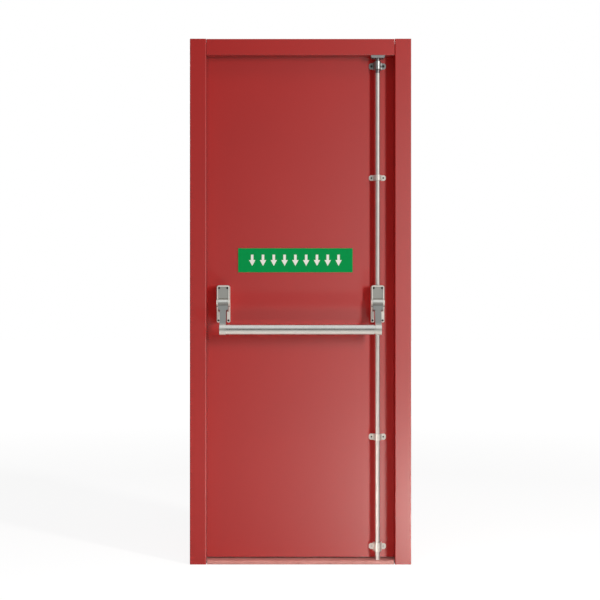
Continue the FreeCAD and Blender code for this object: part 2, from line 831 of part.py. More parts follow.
def write_parts():
    """Check every object of the document, then write each piece to its own file."""
    doc.recompute()
    for item in doc.Objects:
        if "Invalid" in item.State or "Error" in item.State:
            raise RuntimeError(f"{item.Label} is {item.State}")
    for piece in pieces:
        shape = piece.Shape
        if shape.isNull() or not shape.isValid() or len(shape.Solids) != 1:
            raise RuntimeError(f"{piece.Label} isn't one valid solid")
    os.makedirs("parts", exist_ok=True)
    for piece in pieces:
        piece.Shape.exportStep(f"parts/{piece.Label}.step")


fill_sheets()
make_jamb("hinge_jamb", -1)
make_jamb("lock_jamb", 1)
make_head()
make_sill()
make_keep()
make_hinges()
make_leaf()
make_sign()
make_hardware()
write_parts()
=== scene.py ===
"""Looks of a red steel fire-exit door set with a push bar and a two-point bolt.

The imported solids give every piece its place, in metres, with the push side at -Y and Z up. This
script gives each solid its finish, adds the small fasteners and the marks on the sign, and sets up
the studio.
"""
import json
import logging
import math
from dataclasses import dataclass
from enum import Enum
from typing import Any

import bmesh
import bpy
from mathutils import Matrix, Vector

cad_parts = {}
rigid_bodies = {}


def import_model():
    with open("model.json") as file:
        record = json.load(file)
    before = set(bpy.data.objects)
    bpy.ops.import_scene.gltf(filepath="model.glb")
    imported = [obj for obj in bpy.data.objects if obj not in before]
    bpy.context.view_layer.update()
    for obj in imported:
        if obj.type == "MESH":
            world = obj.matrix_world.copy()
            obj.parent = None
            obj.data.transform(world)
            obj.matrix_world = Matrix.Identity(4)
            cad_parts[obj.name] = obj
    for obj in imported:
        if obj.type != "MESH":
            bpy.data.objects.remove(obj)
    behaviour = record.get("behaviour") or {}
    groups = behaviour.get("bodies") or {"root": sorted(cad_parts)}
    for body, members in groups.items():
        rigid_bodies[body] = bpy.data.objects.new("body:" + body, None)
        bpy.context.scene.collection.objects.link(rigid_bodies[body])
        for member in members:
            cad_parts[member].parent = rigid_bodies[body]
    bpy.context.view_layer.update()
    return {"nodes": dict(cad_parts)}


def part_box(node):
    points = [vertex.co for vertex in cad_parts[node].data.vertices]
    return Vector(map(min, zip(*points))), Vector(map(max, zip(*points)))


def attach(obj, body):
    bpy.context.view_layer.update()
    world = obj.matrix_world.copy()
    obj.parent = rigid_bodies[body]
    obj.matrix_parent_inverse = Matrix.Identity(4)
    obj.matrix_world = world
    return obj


MM = 0.001
SMOOTH_ANGLE = math.radians(35)
OUT = Vector((0, -1, 0))
DOWN = Vector((0, 0, -1))
RIGHT = Vector((1, 0, 0))
SIDES = (-1, 1)
HINGE_LEVELS = ("top", "middle", "bottom")
FLOOR = "floor"
WHITE = "#FFFFFF"

# Sockets of a Mix node of two colours, by number because other sockets share their names
FACTOR, FIRST, SECOND, BLEND = 0, 6, 7, 2

# Finishes that some lamps pick out by name
BAKED_COAT = "polyester_powder_coat_baked"
PALE_SILL_COAT = "polyester_powder_coat_pale_sill"
DRAWN_ZINC = "drawn_steel_zinc_plated"
TUMBLED_CASTING = "zinc_casting_tumbled"
PALE_CASTING = "zinc_casting_pale"

log = logging.getLogger("door")


class Body(Enum):
    """Bodies that new pieces move with."""

    FRAME = "frame"
    LEAF = "leaf"
    TOP_ROD = "top_rod"
    BOTTOM_ROD = "bottom_rod"


class Slot(Enum):
    """Names of material slots, which nothing here uses."""

    CASTING = "silver_casting"
    ZINC = "zinc_plated_steel"
    STAINLESS = "stainless_steel"
    SIGN = "green_sign"


class HingeSide(Enum):
    """The two halves of a hinge."""

    FRAME = "frame"
    DOOR = "door"


class Axis(Enum):
    """Directions that a band of another colour is set along."""

    DEPTH = "Y"
    HEIGHT = "Z"


class Reach(Enum):
    """What a lamp lights."""

    ALL = "every surface"
    PIECES = "every surface but the floor"
    COLOUR = "colours without a highlight"
    PAINT_GLOSS = "the gloss of the painted steel alone"
    ROD_GLOSS = "the gloss of the rods and their guides alone"


GLOSS_ON = {
    Reach.PAINT_GLOSS: (BAKED_COAT, PALE_SILL_COAT),
    Reach.ROD_GLOSS: (DRAWN_ZINC, TUMBLED_CASTING, PALE_CASTING),
}


def linear(hex_colour: str) -> tuple[float, float, float, float]:
    """Turn an sRGB hex colour into linear values.

    Args:
        hex_colour: Six hex digits after a hash mark.

    Returns:
        Linear red, green and blue, then full opacity.
    """
    channels = [int(hex_colour[at:at + 2], 16) / 255 for at in (1, 3, 5)]
    values = [c / 12.92 if c <= 0.04045 else ((c + 0.055) / 1.055) ** 2.4 for c in channels]
    return values[0], values[1], values[2], 1.0


def per_mm(size: float) -> float:
    """Return the texture scale whose features are about the given number of millimetres."""
    return 1 / (size * MM)


def add_node(
    tree: bpy.types.NodeTree,
    kind: str,
    inputs: dict[str | int, Any] | None = None,
    **settings: Any,
) -> bpy.types.Node:
    """Add a node with its settings, its values and its links.

    Args:
        tree: Node tree to add to.
        kind: Blender's name for the kind of node.
        inputs: For each input, a value or the output socket that feeds it.
        **settings: Properties of the node itself.

    Returns:
        The new node.
    """
    node = tree.nodes.new(kind)
    for key, setting in settings.items():
        setattr(node, key, setting)
    for key, given in (inputs or {}).items():
        if isinstance(given, bpy.types.NodeSocket):
            tree.links.new(given, node.inputs[key])
        else:
            node.inputs[key].default_value = given
    return node


def new_tree(name: str) -> tuple[bpy.types.Material, bpy.types.NodeTree]:
    """Start a material with an empty node tree.

    Args:
        name: Name of the material.

    Returns:
        The material and its tree.
    """
    material = bpy.data.materials.new(name)
    material.use_nodes = True
    material.node_tree.nodes.clear()
    return material, material.node_tree


def close_tree(tree: bpy.types.NodeTree, shader: bpy.types.Node) -> None:
    """Feed a shader to the tree's material output."""
    add_node(tree, "ShaderNodeOutputMaterial", {"Surface": shader.outputs[0]})


@dataclass(frozen=True)
class PowderCoat:
    """Red polyester powder baked on folded steel: satin, with the fine ripple of orange peel.

    The peel and the grit are drawn near their real size, so the front view stays as smooth as a
    real leaf's. The clouding is what shows there.
    """

    name: str = BAKED_COAT
    colour: str = "#A8130F"
    deep: str = "#9E0D0A"
    cloud_mm: float = 420
    grit_mm: float = 1.1
    peel_mm: float = 3.2
    peel_depth_mm: float = 0.03
    peel_strength: float = 0.5
    roughness: float = 0.55
    roughness_spread: float = 0.05
    ior: float = 1.5
    specular: float = 0.1
    skin: float = 0.35
    skin_roughness: float = 0.6

    def material(self) -> bpy.types.Material:
        """Build the coat: a faint clouding of the colour, rippled gloss and a low bump.

        Returns:
            The new material.
        """
        material, tree = new_tree(self.name)
        place = add_node(tree, "ShaderNodeTexCoord").outputs["Object"]
        cloud = add_node(
            tree,
            "ShaderNodeTexNoise",
            {"Vector": place, "Scale": per_mm(self.cloud_mm), "Detail": 3},
        )
        tones = {
            FACTOR: cloud.outputs["Fac"],
            FIRST: linear(self.deep),
            SECOND: linear(self.colour),
        }
        colour = add_node(tree, "ShaderNodeMix", tones, data_type="RGBA")
        grit = add_node(
            tree,
            "ShaderNodeTexNoise",
            {"Vector": place, "Scale": per_mm(self.grit_mm), "Detail": 2},
        )
        gloss = add_node(
            tree,
            "ShaderNodeMapRange",
            {
                "Value": grit.outputs["Fac"],
                "To Min": self.roughness - self.roughness_spread,
                "To Max": self.roughness + self.roughness_spread,
            },
        )
        peel = add_node(
            tree,
            "ShaderNodeTexNoise",
            {"Vector": place, "Scale": per_mm(self.peel_mm), "Detail": 1},
        )
        bump = add_node(
            tree,
            "ShaderNodeBump",
            {
                "Height": peel.outputs["Fac"],
                "Strength": self.peel_strength,
                "Distance": self.peel_depth_mm * MM,
            },
        )
        shader = add_node(
            tree,
            "ShaderNodeBsdfPrincipled",
            {
                "Base Color": colour.outputs[BLEND],
                "Roughness": gloss.outputs["Result"],
                "IOR": self.ior,
                "Specular IOR Level": self.specular,
                "Coat Weight": self.skin,
                "Coat Roughness": self.skin_roughness,
                "Normal": bump.outputs["Normal"],
            },
        )
        close_tree(tree, shader)
        return material


@dataclass(frozen=True)
class Metal:
    """Bare or plated metal: its colour drifts a little, and its grain runs with how it was made.

    A real cast or brushed grain is a few tenths of a millimetre wide at most. It is drawn coarser
    here, so that it shows.
    """

    name: str
    colour: str
    dark: str
    cloud_mm: float
    grain_mm: tuple[float, float, float]
    grain_depth_mm: float
    roughness: float
    roughness_spread: float = 0.06
    metallic: float = 1.0
    grain_strength: float = 0.6
    panel: str = ""
    panel_axis: Axis = Axis.DEPTH
    panel_at_mm: float = 0.0
    panel_reach_mm: float = 0.0

    def material(self) -> bpy.types.Material:
        """Build the metal from a clouded colour, and one grain for its gloss and bump.

        Returns:
            The new material.
        """
        material, tree = new_tree(self.name)
        place = add_node(tree, "ShaderNodeTexCoord").outputs["Object"]
        cloud = add_node(
            tree,
            "ShaderNodeTexNoise",
            {"Vector": place, "Scale": per_mm(self.cloud_mm), "Detail": 4},
        )
        tones = {
            FACTOR: cloud.outputs["Fac"],
            FIRST: linear(self.dark),
            SECOND: linear(self.colour),
        }
        colour = add_node(tree, "ShaderNodeMix", tones, data_type="RGBA")
        if self.panel:
            colour = self._panelled(tree, place, colour)
        stretch = [per_mm(size) for size in self.grain_mm]
        drawn = add_node(tree, "ShaderNodeMapping", {"Vector": place, "Scale": stretch})
        grain = add_node(
            tree,
            "ShaderNodeTexNoise",
            {"Vector": drawn.outputs["Vector"], "Scale": 1, "Detail": 3},
        )
        gloss = add_node(
            tree,
            "ShaderNodeMapRange",
            {
                "Value": grain.outputs["Fac"],
                "To Min": self.roughness - self.roughness_spread,
                "To Max": self.roughness + self.roughness_spread,
            },
        )
        bump = add_node(
            tree,
            "ShaderNodeBump",
            {
                "Height": grain.outputs["Fac"],
                "Strength": self.grain_strength,
                "Distance": self.grain_depth_mm * MM,
            },
        )
        shader = add_node(
            tree,
            "ShaderNodeBsdfPrincipled",
            {
                "Base Color": colour.outputs[BLEND],
                "Metallic": self.metallic,
                "Roughness": gloss.outputs["Result"],
                "Normal": bump.outputs["Normal"],
            },
        )
        close_tree(tree, shader)
        return material

    def _panelled(
        self, tree: bpy.types.NodeTree, place: bpy.types.NodeSocket, colour: bpy.types.Node
    ) -> bpy.types.Node:
        """Give a band of a casting its own darker grey, where the rest keeps a pale colour that is
        a painted highlight.

        Args:
            tree: Node tree of the metal.
            place: Object coordinates.
            colour: Node that gives the pale colour, a painted highlight.

        Returns:
            The node that gives the colour of the whole.
        """
        axes = add_node(tree, "ShaderNodeSeparateXYZ", {"Vector": place}).outputs
        along = axes[self.panel_axis.value]
        band = {0: along, 1: self.panel_at_mm * MM, 2: self.panel_reach_mm * MM}
        inside = add_node(tree, "ShaderNodeMath", band, operation="COMPARE")
        tones = {
            FACTOR: inside.outputs[0],
            FIRST: colour.outputs[BLEND],
            SECOND: linear(self.panel),
        }
        return add_node(tree, "ShaderNodeMix", tones, data_type="RGBA")


@dataclass(frozen=True)
class Plain:
    """Plastic, printed ink or paper: an even colour with a fine mottle, more or less glossy."""

    name: str
    colour: str
    dark: str
    roughness: float
    mottle_mm: float
    mottle_depth_mm: float = 0.02
    mottle_strength: float = 0.4
    ior: float = 1.5
    specular: float = 0.1

    def material(self) -> bpy.types.Material:
        """Build the finish from one fine mottle for its colour and bump.

        Returns:
            The new material.
        """
        material, tree = new_tree(self.name)
        place = add_node(tree, "ShaderNodeTexCoord").outputs["Object"]
        mottle = add_node(
            tree,
            "ShaderNodeTexNoise",
            {"Vector": place, "Scale": per_mm(self.mottle_mm), "Detail": 3},
        )
        tones = {
            FACTOR: mottle.outputs["Fac"],
            FIRST: linear(self.dark),
            SECOND: linear(self.colour),
        }
        colour = add_node(tree, "ShaderNodeMix", tones, data_type="RGBA")
        bump = add_node(
            tree,
            "ShaderNodeBump",
            {
                "Height": mottle.outputs["Fac"],
                "Strength": self.mottle_strength,
                "Distance": self.mottle_depth_mm * MM,
            },
        )
        shader = add_node(
            tree,
            "ShaderNodeBsdfPrincipled",
            {
                "Base Color": colour.outputs[BLEND],
                "Roughness": self.roughness,
                "IOR": self.ior,
                "Specular IOR Level": self.specular,
                "Normal": bump.outputs["Normal"],
            },
        )
        close_tree(tree, shader)
        return material


class Palette:
    """Every finish of the door set, made once."""

    def __init__(self) -> None:
        """Make the materials."""
        self.coat = PowderCoat().material()
        # Sill coat: the same powder, paler pink and duller
        self.pale_sill = PowderCoat(
            name=PALE_SILL_COAT,
            colour="#D6978F",
            deep="#BE766E",
            cloud_mm=35,
            roughness=0.6,
            skin=0.04,
            skin_roughness=0.55,
        ).material()
        # Box casting: its own darker, grainy grey on the recessed panel; the rim, nose, hub and
        # every other face are painted pale as a painted highlight
        self.casting = Metal(
            name="aluminium_casting_painted_highlight_rim",
            colour="#EFECE5",
            dark="#DEDBD4",
            cloud_mm=12,
            grain_mm=(4, 4, 4),
            grain_depth_mm=0.15,
            roughness=0.5,
            metallic=0.5,
            panel="#9C9E9A",
            panel_at_mm=-41,
            panel_reach_mm=1.6,
        ).material()
        # Arm casting: sprayed mid grey, with a painted highlight as a pale colour on the hub above
        # the pivot and on the cap at the bar
        self.arm = Metal(
            name="aluminium_casting_grey_painted_highlight_hub",
            colour="#D6D7D2",
            dark="#C4C6C1",
            cloud_mm=6,
            grain_mm=(4, 4, 4),
            grain_depth_mm=0.08,
            roughness=0.34,
            roughness_spread=0.05,
            metallic=0.95,
            panel="#868886",
            panel_axis=Axis.HEIGHT,
            panel_at_mm=1014.5,
            panel_reach_mm=41.5,
        ).material()
        # Top guide and keep: tumbled zinc casting, brighter where it is rounded
        self.guide = Metal(
            name=TUMBLED_CASTING,
            colour="#B2B5B5",
            dark="#94989A",
            cloud_mm=9,
            grain_mm=(3, 3, 3),
            grain_depth_mm=0.1,
            roughness=0.38,
            metallic=0.9,
        ).material()
        # The other guides: the same casting, paler and softer
        self.pale_guide = Metal(
            name=PALE_CASTING,
            colour="#DCDAD4",
            dark="#C9C7C1",
            cloud_mm=9,
            grain_mm=(3, 3, 3),
            grain_depth_mm=0.1,
            roughness=0.5,
            metallic=0.5,
        ).material()
        # Satin anodised tube: fine lines along its length that stretch the highlight
        self.tube = Metal(
            name="aluminium_tube_satin_anodised",
            colour="#D2D3CF",
            dark="#C4C6C2",
            cloud_mm=90,
            grain_mm=(90, 2.5, 2.5),
            grain_depth_mm=0.008,
            roughness=0.27,
            roughness_spread=0.04,
        ).material()
        # Zinc on drawn steel: a soft pale grey, slightly clouded, with draw lines up the rod
        self.zinc = Metal(
            name=DRAWN_ZINC,
            colour="#D0CECB",
            dark="#B8B6B4",
            cloud_mm=30,
            grain_mm=(0.8, 0.8, 40),
            grain_depth_mm=0.02,
            roughness=0.6,
        ).material()
        # Darker zinc: the top bolt where it slides, a darker grey
        self.dull = Metal(
            name="steel_zinc_plated_darker",
            colour="#868385",
            dark="#696669",
            cloud_mm=8,
            grain_mm=(2, 2, 2),
            grain_depth_mm=0.03,
            roughness=0.45,
            roughness_spread=0.08,
            metallic=0.9,
        ).material()
        # Brushed stainless: even grey with short lines up the hinge
        self.stainless = Metal(
            name="stainless_steel_brushed",
            colour="#B9B8B4",
            dark="#A7A6A3",
            cloud_mm=50,
            grain_mm=(0.6, 0.6, 25),
            grain_depth_mm=0.02,
            roughness=0.32,
            roughness_spread=0.08,
        ).material()
        # Blackened steel screws and pins: dark, dull, a little worn
        self.black = Metal(
            name="steel_black_oxide",
            colour="#161616",
            dark="#0B0B0B",
            cloud_mm=6,
            grain_mm=(0.5, 0.5, 0.5),
            grain_depth_mm=0.01,
            roughness=0.6,
            roughness_spread=0.1,
            metallic=0.3,
        ).material()
        # Rigid plastic sign: flat safety green, faint sheen
        self.green = Plain(
            name="rigid_plastic_safety_green",
            colour="#00974C",
            dark="#008C45",
            roughness=0.42,
            mottle_mm=14,
        ).material()
        # Screen-printed ink: slightly warm white
        self.ink = Plain(
            name="ink_screen_printed_white",
            colour="#F1F2EA",
            dark="#E6E8DF",
            roughness=0.5,
            mottle_mm=3,
        ).material()
        # Cut edge of the sign: the pale layer under its green face
        self.edge = Plain(
            name="plastic_cut_edge",
            colour="#B9C39A",
            dark="#A5B088",
            roughness=0.5,
            mottle_mm=5,
        ).material()
        # Kraft paper honeycomb, closed in the leaf: dull brown
        self.kraft = Plain(
            name="kraft_paper_honeycomb",
            colour="#A98558",
            dark="#8E6D45",
            roughness=0.9,
            mottle_mm=8,
            mottle_depth_mm=0.3,
        ).material()


def dress(
    nodes: dict[str, bpy.types.Object], names: list[str], material: bpy.types.Material
) -> None:
    """Put one material on the given solids.

    Args:
        nodes: All solids by name.
        names: Names of the solids to dress.
        material: Their finish.
    """
    for name in names:
        slots = nodes[name].data.materials
        slots.clear()
        slots.append(material)
        log.info("%s dressed in %s", name, material.name)


def add_piece(
    name: str, shape: bmesh.types.BMesh, material: bpy.types.Material, body: Body
) -> None:
    """Turn a finished bmesh into a piece that rides on a body.

    Args:
        name: Name of the piece.
        shape: Its mesh, in place; it is freed.
        material: Its finish.
        body: Body that it moves with.
    """
    for face in shape.faces:
        face.smooth = True
    mesh = bpy.data.meshes.new(name)
    shape.to_mesh(mesh)
    shape.free()
    mesh.set_sharp_from_angle(angle=SMOOTH_ANGLE)
    mesh.materials.append(material)
    piece = bpy.data.objects.new(name, mesh)
    bpy.context.scene.collection.objects.link(piece)
    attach(piece, body.value)
    log.info("%s made, %d faces, rides on %s", name, len(mesh.polygons), body.value)


def facing(spot: Vector, outward: Vector) -> Matrix:
    """Return the matrix that takes a shape built on +Z at the origin to a spot on a surface."""
    return Matrix.Translation(spot) @ outward.to_track_quat("Z", "Y").to_matrix().to_4x4()


def extrude(shape: bmesh.types.BMesh, faces: list[bmesh.types.BMFace], by: Vector) -> None:
    """Extrude faces and move the new ones.

    Args:
        shape: Mesh that holds the faces.
        faces: Faces to extrude.
        by: Way to move the new faces.
    """
    new = bmesh.ops.extrude_face_region(shape, geom=faces)["geom"]
    verts = [item for item in new if isinstance(item, bmesh.types.BMVert)]
    bmesh.ops.translate(shape, verts=verts, vec=by)


@dataclass(frozen=True)
class CrossScrew:
    """Screw head with a cross recess, low and domed or countersunk flush."""

    radius: float = 3.4 * MM
    height: float = 1.4 * MM
    dome: float = 0.7 * MM
    recess: float = 1.1 * MM
    sink: float = 0.4 * MM
    cells: int = 5
    cross_reach: float = 0.6
    cross_width: float = 0.2

    def add(self, shape: bmesh.types.BMesh, spot: Vector, outward: Vector) -> None:
        """Add one head to a mesh.

        Args:
            shape: Mesh that gathers the heads.
            spot: Point on the surface under the middle of the head.
            outward: Direction that the head faces.
        """
        head = bmesh.new()
        bmesh.ops.create_grid(
            head, x_segments=self.cells, y_segments=self.cells, size=self.radius
        )
        for vert in head.verts:
            if vert.is_boundary:
                vert.co = vert.co.normalized() * self.radius
        top = self.height + self.dome
        cross = [face for face in head.faces if self._in_cross(face.calc_center_median())]
        for vert in head.verts:
            vert.co.z = top - self.dome * (vert.co.length / self.radius) ** 2
        rim = [edge for edge in head.edges if edge.is_boundary]
        skirt = bmesh.ops.extrude_edge_only(head, edges=rim)["geom"]
        for vert in skirt:
            if isinstance(vert, bmesh.types.BMVert):
                vert.co.z = -self.sink
        extrude(head, cross, Vector((0, 0, -self.recess)))
        bmesh.ops.delete(head, geom=cross, context="FACES_ONLY")
        bmesh.ops.recalc_face_normals(head, faces=head.faces)
        bmesh.ops.transform(head, matrix=facing(spot, outward), verts=head.verts)
        self._join(shape, head)

    def _in_cross(self, centre: Vector) -> bool:
        """Tell whether a cell of the head belongs to the cross recess.

        Args:
            centre: Middle of the cell, on the flat head.

        Returns:
            True for the cells of the cross.
        """
        arm = self.cross_reach * self.radius
        half = self.cross_width * self.radius
        across = abs(centre.x) < half and abs(centre.y) < arm
        along = abs(centre.y) < half and abs(centre.x) < arm
        return across or along

    @staticmethod
    def _join(shape: bmesh.types.BMesh, head: bmesh.types.BMesh) -> None:
        """Copy one mesh into another and free it.

        Args:
            shape: Mesh to copy into.
            head: Mesh to copy.
        """
        passing = bpy.data.meshes.new("passing")
        head.to_mesh(passing)
        head.free()
        shape.from_mesh(passing)
        bpy.data.meshes.remove(passing)


@dataclass(frozen=True)
class HingeScrews:
    """Flush screws in one side's plates of the three hinges."""

    side: HingeSide
    body: Body
    outward: Vector
    rows: tuple[float, ...] = (-34 * MM, 0.0, 34 * MM)
    inset: float = 16 * MM
    plate_face: float = 0.5 * MM
    screw: CrossScrew = CrossScrew(
        radius=4 * MM, height=0.1 * MM, dome=0.15 * MM, recess=0.8 * MM
    )

    def build(self, material: bpy.types.Material) -> None:
        """Add the screws, a row on each plate.

        Args:
            material: Their finish.
        """
        for level in HINGE_LEVELS:
            low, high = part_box(f"{level}_hinge_{self.side.value}_leaf")
            face = (low.x + high.x) / 2 - self.outward.x * self.plate_face
            shape = bmesh.new()
            for row in self.rows:
                spot = Vector((face, low.y + self.inset, (low.z + high.z) / 2 + row))
                self.screw.add(shape, spot, self.outward)
            name = f"{level}_hinge_{self.side.value}_screws"
            add_piece(name, shape, material, self.body)


@dataclass
class SteelFrame:
    """Folded jambs, head and sill, the top keep and the frame's half of the hinges."""

    palette: Palette
    nodes: dict[str, bpy.types.Object]
    keep_screw_spacing: float = 40 * MM
    keep_screw: CrossScrew = CrossScrew()

    def dress(self) -> None:
        """Give the frame's solids their finishes."""
        dress(self.nodes, ["hinge_jamb", "lock_jamb", "head"], self.palette.coat)
        dress(self.nodes, ["sill"], self.palette.pale_sill)
        dress(self.nodes, ["top_keep"], self.palette.guide)
        ends = ("_hinge_frame_leaf", "_hinge_pin")
        hinges = [name for name in self.nodes if name.endswith(ends)]
        dress(self.nodes, hinges, self.palette.stainless)

    def build(self) -> None:
        """Add the screws of the keep and of the frame's hinge leaves."""
        self._keep_screws()
        HingeScrews(HingeSide.FRAME, Body.FRAME, RIGHT).build(self.palette.stainless)

    def _keep_screws(self) -> None:
        """Add two screws under the keep, one each side of the bolt hole."""
        low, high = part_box("top_keep")
        middle = (low + high) / 2
        shape = bmesh.new()
        for side in SIDES:
            spot = Vector((middle.x + side * self.keep_screw_spacing / 2, middle.y, low.z))
            self.keep_screw.add(shape, spot, DOWN)
        add_piece("keep_screws", shape, self.palette.black, Body.FRAME)


@dataclass
class DoorLeaf:
    """The hollow leaf with its sign plate and its half of the hinges."""

    palette: Palette
    nodes: dict[str, bpy.types.Object]
    edge_width: float = 1.6 * MM
    print_depth: float = 0.25 * MM
    arrow_count: int = 9
    arrow_width: float = 26 * MM
    arrow_height: float = 46 * MM
    arrow_pitch: float = 44 * MM
    arrow_shaft_share: float = 0.4
    arrow_neck_share: float = 0.02

    def dress(self) -> None:
        """Give the leaf's solids their finishes."""
        skins = ["push_side_skin", "outer_skin", "leaf_top_channel", "leaf_bottom_channel"]
        dress(self.nodes, skins, self.palette.coat)
        dress(self.nodes, ["leaf_core"], self.palette.kraft)
        dress(self.nodes, ["sign_plate"], self.palette.green)
        hinges = [name for name in self.nodes if name.endswith("_hinge_door_leaf")]
        dress(self.nodes, hinges, self.palette.stainless)

    def build(self) -> None:
        """Add the sign's edge and marks, and the hinge screws."""
        self._sign_edge()
        self._sign_arrows()
        HingeScrews(HingeSide.DOOR, Body.LEAF, -RIGHT).build(self.palette.stainless)

    def _sign_edge(self) -> None:
        """Add the thin pale line round the sign."""
        low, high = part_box("sign_plate")
        shape = bmesh.new()
        corners = ((low.x, low.z), (high.x, low.z), (high.x, high.z), (low.x, high.z))
        sheet = shape.faces.new([shape.verts.new((x, low.y, z)) for x, z in corners])
        bmesh.ops.inset_region(
            shape,
            faces=[sheet],
            thickness=self.edge_width,
            use_boundary=True,
            use_even_offset=True,
        )
        bmesh.ops.delete(shape, geom=[sheet], context="FACES_ONLY")
        self._thicken(shape)
        add_piece("sign_edge", shape, self.palette.edge, Body.LEAF)

    def _sign_arrows(self) -> None:
        """Add a row of plain arrows that point down at the bar."""
        low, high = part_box("sign_plate")
        middle = (low + high) / 2
        shape = bmesh.new()
        shaft = self.arrow_width * self.arrow_shaft_share / 2
        neck = self.arrow_height * self.arrow_neck_share
        half_tall = self.arrow_height / 2
        outline = (
            (0, -half_tall),
            (self.arrow_width / 2, neck),
            (shaft, neck),
            (shaft, half_tall),
            (-shaft, half_tall),
            (-shaft, neck),
            (-self.arrow_width / 2, neck),
        )
        for number in range(self.arrow_count):
            centre = middle.x + (number - (self.arrow_count - 1) / 2) * self.arrow_pitch
            verts = [shape.verts.new((centre + u, low.y, middle.z + v)) for u, v in outline]
            shape.faces.new(verts)
        self._thicken(shape)
        add_piece("sign_arrows", shape, self.palette.ink, Body.LEAF)

    def _thicken(self, shape: bmesh.types.BMesh) -> None:
        """Raise flat faces on the sign's front to the depth of the print."""
        extrude(shape, list(shape.faces), OUT * self.print_depth)
        bmesh.ops.recalc_face_normals(shape, faces=shape.faces)


@dataclass
class PushBar:
    """The bar, its arms, and the boxes that carry them on the leaf."""

    palette: Palette
    nodes: dict[str, bpy.types.Object]
    top_screw_spread: float = 17 * MM
    top_screw_drop: float = 11.5 * MM
    panel_recess: float = 3 * MM
    nose_stand: float = 8 * MM
    lug_screw_spread: float = 20.5 * MM
    lug_screw_rise: float = 8 * MM
    lug_depth: float = 22 * MM
    screw: CrossScrew = CrossScrew(radius=4.3 * MM, height=0.9 * MM, dome=0.5 * MM)

    def dress(self) -> None:
        """Give the bar's solids their finishes."""
        dress(self.nodes, ["hinge_side_box", "latch_side_box"], self.palette.casting)
        dress(self.nodes, ["hinge_side_arm", "latch_side_arm"], self.palette.arm)
        dress(self.nodes, ["push_bar"], self.palette.tube)
        dress(self.nodes, ["hinge_side_pivot", "latch_side_pivot"], self.palette.zinc)

    def build(self) -> None:
        """Add the four screws of each box: two on its panel and two on its lugs."""
        for end in ("hinge_side", "latch_side"):
            low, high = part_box(f"{end}_box")
            middle = (low.x + high.x) / 2
            panel = low.y + self.nose_stand + self.panel_recess
            lug = high.y - self.lug_depth
            shape = bmesh.new()
            for side in SIDES:
                top_x = middle + side * self.top_screw_spread
                top = Vector((top_x, panel, high.z - self.top_screw_drop))
                self.screw.add(shape, top, OUT)
                lug_x = middle + side * self.lug_screw_spread
                foot = Vector((lug_x, lug, low.z + self.lug_screw_rise))
                self.screw.add(shape, foot, OUT)
            add_piece(f"{end}_box_screws", shape, self.palette.black, Body.LEAF)


@dataclass
class BoltGear:
    """The rods, their bolts and the guides that hold them to the leaf."""

    palette: Palette
    nodes: dict[str, bpy.types.Object]
    ear_screw_spread: float = 24 * MM
    ear_thickness: float = 3 * MM
    top_screw: CrossScrew = CrossScrew(radius=5 * MM, height=0.8 * MM, dome=0.5 * MM)
    rod_screw: CrossScrew = CrossScrew(radius=3.4 * MM, height=0.8 * MM, dome=0.5 * MM)
    foot_screw: CrossScrew = CrossScrew(radius=3.8 * MM, height=0.8 * MM, dome=0.5 * MM)
    pin_radius: float = 2.2 * MM
    pin_bore: float = 1.3 * MM
    pin_segments: int = 20
    pin_stand: float = 0.4 * MM
    pin_drop: float = 4.5 * MM
    bottom_pin_turn: float = math.radians(38)

    def dress(self) -> None:
        """Give the rods, bolts and guides their finishes."""
        dress(self.nodes, ["top_guide"], self.palette.guide)
        pale = ["upper_guide", "lower_guide", "bottom_guide"]
        dress(self.nodes, pale, self.palette.pale_guide)
        dress(self.nodes, ["top_rod", "bottom_rod", "bottom_bolt"], self.palette.zinc)
        dress(self.nodes, ["top_bolt"], self.palette.dull)

    def build(self) -> None:
        """Add the guides' screws and the pins that hold the rods to their bolts."""
        self._guide_screws("top", self.top_screw, self.palette.black)
        self._guide_screws("upper", self.rod_screw, self.palette.black)
        self._guide_screws("lower", self.rod_screw, self.palette.black)
        self._guide_screws("bottom", self.foot_screw, self.palette.zinc)
        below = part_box("top_guide")[0].z - self.pin_drop
        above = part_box("bottom_guide")[1].z + self.pin_drop
        self._pin("top_bolt_pin", below, "top_bolt", Body.TOP_ROD, 0.0)
        self._pin("bottom_bolt_pin", above, "bottom_bolt", Body.BOTTOM_ROD, self.bottom_pin_turn)

    def _guide_screws(
        self, level: str, screw: CrossScrew, material: bpy.types.Material
    ) -> None:
        """Add the two screws in the ears of a guide.

        Args:
            level: First word of the guide's name.
            screw: Its screws.
            material: Their finish.
        """
        low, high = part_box(f"{level}_guide")
        middle = (low + high) / 2
        face = high.y - self.ear_thickness
        shape = bmesh.new()
        for side in SIDES:
            spot = Vector((middle.x + side * self.ear_screw_spread, face, middle.z))
            screw.add(shape, spot, OUT)
        add_piece(f"{level}_guide_screws", shape, material, Body.LEAF)

    def _pin(self, name: str, level: float, bolt: str, body: Body, turn: float) -> None:
        """Add a rolled pin through a bolt, standing a little proud at both ends.

        Args:
            name: Name of the pin.
            level: Its height.
            bolt: Node that it passes through.
            body: Body that it moves with.
            turn: Angle from straight out of the leaf towards the lock jamb.
        """
        low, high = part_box(bolt)
        middle = (low + high) / 2
        outward = Vector((math.sin(turn), -math.cos(turn), 0))
        depth = high.y - low.y + 2 * self.pin_stand
        shape = bmesh.new()
        for radius in (self.pin_radius, self.pin_bore):
            bmesh.ops.create_circle(
                shape, cap_ends=False, segments=self.pin_segments, radius=radius
            )
        washer = bmesh.ops.bridge_loops(shape, edges=shape.edges[:])["faces"]
        extrude(shape, washer, Vector((0, 0, depth)))
        bmesh.ops.recalc_face_normals(shape, faces=shape.faces)
        spot = Vector((middle.x, middle.y, level)) - outward * depth / 2
        bmesh.ops.transform(shape, matrix=facing(spot, outward), verts=shape.verts)
        add_piece(name, shape, self.palette.black, body)


